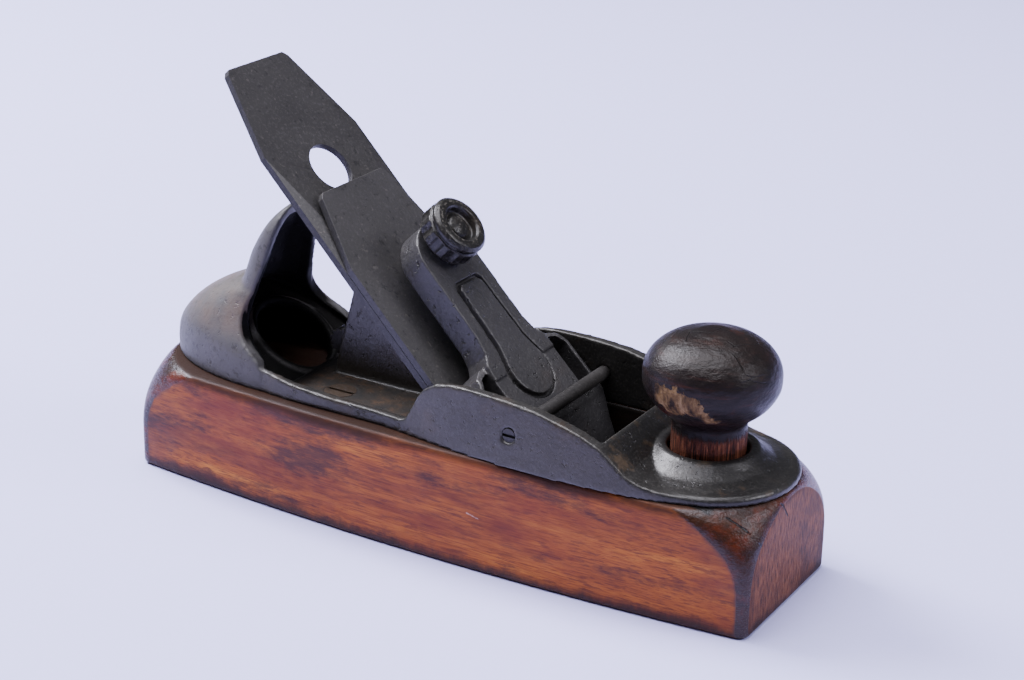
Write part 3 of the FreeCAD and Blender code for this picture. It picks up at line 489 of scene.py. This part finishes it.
def casting_regions(look, tone, rough, clouds, pits):
    """Where the top casting differs: handle, painted shade in its hollow, dusty floor, painted sheen on
    the upright sides, toe flange.
    """
    x = look.axis("X")
    handle = look.band_mm(x, HANDLE_X + 17, HANDLE_X)
    tone = look.over(tone, handle, 0.9, rubbed_handle(look, clouds, pits))
    rough = look.plus(rough, look.times(handle, 0.22))

    # painted shade: the handle's hollow is painted near-black, with less specular and no coat
    hollow = handle_hollow_shade(look)
    tone = look.over(tone, hollow, 0.97, (0.0030, 0.0028, 0.0026))
    look.vary("Specular IOR Level", look.minus(IRON_SPECULAR, look.times(hollow, 0.34)))
    look.vary("Coat Weight", look.times(look.invert(hollow), IRON_COAT))

    dust, dusty = floor_dust(look)
    tone = look.over(tone, dusty, 0.85, dust)
    rough = look.plus(rough, look.times(dusty, 0.35))

    # painted sheen: dull warm grey on the upright sides that face outwards, lightening them as their
    # reflection of the floor does
    sideways = look.facing("Y")
    outer = look.band_mm(look.times(look.axis("Y"), sideways), 0, 2)
    side = look.times(look.band(look.absolute(sideways), 0.88, 0.98), outer)
    tone = look.over(tone, look.times(side, clouds), 0.5, (0.070, 0.058, 0.042))

    # thin rust on the toe flange round the boss
    toe = look.times(look.band_mm(x, 50, 60), look.band(look.noise(90, 5, 0.7, seed=47.0), 0.55, 0.68))
    tone = look.over(tone, toe, 0.5, (0.085, 0.055, 0.030))
    return tone, rough


# ---- steel ----

def steel(name, base, light, speckle, gloss=0.42):
    """Dark aged steel: fine and coarse pitting, light spots, brown bloom."""
    look = Shader(name, metallic=0.35, specular=0.35)
    fine = look.noise(1100, 4, 0.75, seed=3.0)
    coarse = look.noise(420, 4, 0.7, seed=5.0)
    clouds = look.noise(60, 5, 0.6, seed=6.0)
    tone = look.mix(clouds, base, light)
    tone = look.over(tone, look.band(fine, 0.5, 0.62), 0.35, (0.085, 0.078, 0.072))
    pits = look.invert(look.band(coarse, 0.34, 0.43))
    tone = look.over(tone, pits, 0.6, (0.010, 0.009, 0.009))
    spots = look.band(look.noise(700, 2, 0.5, seed=12.0), 0.62, 0.74)
    tone = look.over(tone, spots, speckle, (0.17, 0.15, 0.13))
    bloom = look.band(look.noise(38, 5, 0.65, seed=15.0), 0.56, 0.75)
    tone = look.over(tone, bloom, 0.45, (0.055, 0.036, 0.024))
    rough = look.plus(gloss, look.times(clouds, 0.25))
    normal = look.bump(fine, 0.45, 0.2 * MM)
    return look.finish(tone, rough, look.bump(coarse, 0.3, 0.4 * MM, normal))


# ---- knob ----

def polish_cracks(look):
    """Mask of short cracks in the polish."""
    web = look.node("ShaderNodeTexVoronoi", {"Vector": look.stretch(1, 1, 2.2), "Scale": 95.0},
                    feature="DISTANCE_TO_EDGE").outputs[0]
    patches = look.band(look.noise(75, 3, 0.5, seed=19.0), 0.57, 0.63)
    return look.times(look.invert(look.band(web, 0.006, 0.022)), patches)


def chip_mask(look, height, angle):
    """Ragged chipped patch below the widest part on the near side, thinning towards the toe."""
    turn = look.minus(angle, CHIP_ANGLE)
    wander = look.times(look.minus(look.noise(170, 5, 0.65, seed=17.0), 0.5), 12 * MM)
    lift = look.plus(look.minus(height, CHIP_HEIGHT * MM), wander)
    fall = look.band(turn, -0.05, 0.6)
    under = look.invert(look.band_mm(look.plus(lift, look.times(fall, 7.8 * MM)), 0.8, 1.3))
    above = look.band_mm(look.plus(lift, look.times(fall, 1.8 * MM)), -5.8, -5.2)
    span = look.plus(look.absolute(turn), look.times(wander, 30.0))
    return look.times(look.times(above, under), look.invert(look.band(span, 0.50, 0.58)))


def knob_wood():
    """Dark polished knob: chipped polish low on one side, cracks, bare streaky neck."""
    look = Shader("dark_knob_wood", specular=0.17, coat=0.05, coat_roughness=0.12, tint=(1.0, 0.93, 0.82))
    low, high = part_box("front_knob")
    centre = (low + high) / 2
    height = look.axis("Z")
    across = look.minus(look.axis("X"), centre.x)
    deep = look.minus(look.axis("Y"), centre.y)
    angle = look.math("ARCTAN2", deep, across)
    clouds = look.noise(70, 5, 0.6, seed=2.0)
    grain = look.noise(50, 5, 0.6, look.stretch(1.2, 4, 14), seed=5.0)
    tone = look.ramp(grain, [(0.3, (0.005, 0.004, 0.004)), (0.55, (0.011, 0.007, 0.006)),
                             (0.8, (0.038, 0.014, 0.009))])
    red = look.band(look.noise(80, 4, 0.6, seed=11.0), 0.58, 0.72)
    tone = look.over(tone, red, 0.45, (0.10, 0.020, 0.010))
    crack = polish_cracks(look)
    tone = look.mix(crack, tone, CRACK_BLACK)

    # bare neck with upright streaks
    round_and_up = {"X": look.times(angle, 10.0), "Z": look.times(height, 60.0)}
    wrapped = look.node("ShaderNodeCombineXYZ", round_and_up).outputs[0]
    streaks = look.noise(1.6, 4, 0.6, wrapped, seed=7.0)
    ragged = look.plus(height, look.times(streaks, 9 * MM))
    neck = look.invert(look.band_mm(ragged, KNOB_FOOT + 13.6, KNOB_FOOT + 15.2))
    bare = look.ramp(streaks, [(0.38, (0.010, 0.006, 0.005)), (0.5, (0.085, 0.022, 0.011)),
                               (0.72, (0.36, 0.13, 0.06))])
    tone = look.mix(neck, tone, bare)

    # light wood where the polish is chipped off
    chip = chip_mask(look, height, angle)
    chip_grain = look.noise(150, 6, 0.65, look.stretch(1.5, 1.5, 0.6), seed=18.0)
    chip_tone = look.ramp(chip_grain, [(0.43, (0.020, 0.011, 0.006)), (0.52, (0.12, 0.066, 0.024)),
                                       (0.66, (0.31, 0.20, 0.09))])
    tone = look.mix(chip, tone, chip_tone)

    rough = look.plus(0.20, look.times(look.larger(neck, chip), 0.4))
    rough = look.plus(rough, look.times(clouds, 0.36))
    relief = look.minus(clouds, look.times(look.larger(chip, crack), 0.4))
    dimples = look.noise(190, 5, 0.7, look.stretch(1, 1, 1.8), seed=23.0)
    normal = look.bump(look.times(streaks, neck), 0.9, 1.0 * MM)
    normal = look.bump(relief, 0.6, 1.2 * MM, normal)
    return look.finish(tone, rough, look.bump(dimples, 0.6, 0.9 * MM, normal))


def floor_material():
    """Pale paper, faintly uneven."""
    look = Shader("pale_floor", specular=0.2)
    paper = look.noise(300, 3, 0.5, seed=1.0)
    tone = look.mix(paper, (0.585, 0.570, 0.93), (0.605, 0.590, 0.95))
    return look.finish(tone, 0.65)


# ---- pieces ----

def dress(piece, material):
    """One material for all of a finished piece."""
    piece.data.materials.clear()
    piece.data.materials.append(material)


def dress_node(node, material):
    """One material for a CAD node that keeps its shape."""
    for slot in frame["nodes"][node].material_slots:
        slot.material = material


CASTING_SKIN = iron("japanned_casting", (0.0085, 0.0078, 0.0070), (0.080, 0.074, 0.062),
                    edge_wear=0.6, cast=0.5, regions=casting_regions)
CAP_SKIN = iron("japanned_cap", (0.0240, 0.0225, 0.0225), (0.095, 0.090, 0.084),
                edge_wear=0.5, rust=0.15, gloss=0.20, cast=1.0, specular=0.36)
THUMB_SKIN = iron("japanned_thumbscrew", (0.0060, 0.0055, 0.0050), (0.16, 0.145, 0.115),
                  edge_wear=0.6, rust=0.25, gloss=0.16, cast=0.5, specular=0.30)
BLADE = steel("blade_steel", (0.022, 0.020, 0.019), (0.048, 0.044, 0.040), 0.3)
CAP_STEEL = steel("cap_iron_steel", (0.029, 0.027, 0.026), (0.062, 0.057, 0.052), 0.3)
FITTING = steel("fitting_steel", (0.020, 0.018, 0.016), (0.050, 0.045, 0.040), 0.2, gloss=0.38)
RUSTY = steel("rusty_screw", (0.022, 0.014, 0.009), (0.070, 0.042, 0.020), 0.1, gloss=0.6)

# node, voxel in mm, rounds of smoothing, material
REFINED = (
    ("wood_body", 0.7, 4, beech()),
    ("top_casting", 0.5, 6, CASTING_SKIN),
    ("lever_cap", 0.3, 6, CAP_SKIN),
    ("front_knob", 0.4, 4, knob_wood()),
    ("thumbscrew_knob", 0.16, 5, THUMB_SKIN),
)
for node, voxel, rounds, material in REFINED:
    dress(refined(node, voxel * MM, rounds), material)

# node, width of the eased edge in mm, material
EASED = (
    ("cutter", 0.3, BLADE),
    ("cap_iron", 0.3, CAP_STEEL),
    ("cross_rod", 0.12, FITTING),
    ("cap_iron_screw", 0.12, FITTING),
    ("thumbscrew_stem", 0.12, FITTING),
    ("adjusting_lever", 0.12, FITTING),
    ("lever_pivot_pin", 0.12, FITTING),
    ("knob_stud", 0.12, FITTING),
    ("frame_screws", 0.1, RUSTY),
)
for node, width, material in EASED:
    ease_edges(node, width * MM)
    dress_node(node, material)


# ---- stage ----

# name, place, power in watts, width in metres
SOFTBOXES = (
    ("key_softbox", (-1.0, 0.05, 1.0), 46, 0.6),
    ("right_softbox", (1.1, 0.25, 0.9), 12, 0.5),
    ("overhead_softbox", (-0.35, -0.05, 1.85), 84, 1.7),
)


def make_floor():
    mesh = bpy.data.meshes.new("floor")
    half = FLOOR_SIZE / 2
    corners = [(-half, -half, 0), (half, -half, 0), (half, half, 0), (-half, half, 0)]
    mesh.from_pydata(corners, [], [(0, 1, 2, 3)])
    floor = bpy.data.objects.new("floor", mesh)
    bpy.context.scene.collection.objects.link(floor)
    mesh.materials.append(floor_material())


def softbox(name, place, power, width):
    """A square area light aimed at the plane."""
    data = bpy.data.lights.new(name, "AREA")
    data.energy = power
    data.size = width
    data.color = LIGHT_TINT
    lamp = bpy.data.objects.new(name, data)
    lamp.location = place
    lamp.rotation_mode = "QUATERNION"
    lamp.rotation_quaternion = (LIGHT_AIM - Vector(place)).to_track_quat("-Z", "Y")
    bpy.context.scene.collection.objects.link(lamp)


def make_sky():
    world = bpy.data.worlds.new("studio")
    world.use_nodes = True
    background = world.node_tree.nodes["Background"]
    background.inputs["Color"].default_value = SKY_COLOUR
    background.inputs["Strength"].default_value = SKY_STRENGTH
    bpy.context.scene.world = world


def make_camera():
    """The camera looks along its yaw and pitch, then rolls about that line."""
    data = bpy.data.cameras.new("camera")
    data.lens = CAMERA_LENS
    data.sensor_width = SENSOR_WIDTH
    camera = bpy.data.objects.new("camera", data)
    level = math.cos(CAMERA_PITCH)
    ahead = Vector((math.sin(CAMERA_YAW) * level, math.cos(CAMERA_YAW) * level,
                    -math.sin(CAMERA_PITCH)))
    right = Vector((math.cos(CAMERA_YAW), -math.sin(CAMERA_YAW), 0))
    above = right.cross(ahead)
    tilt = Matrix.Rotation(CAMERA_ROLL, 3, "Z")
    turn = Matrix((right, above, -ahead)).transposed() @ tilt
    camera.matrix_world = Matrix.Translation(CAMERA_PLACE) @ turn.to_4x4()
    bpy.context.scene.collection.objects.link(camera)
    bpy.context.scene.camera = camera


make_floor()
for name, place, power, width in SOFTBOXES:
    softbox(name, place, power, width)
make_sky()
make_camera()
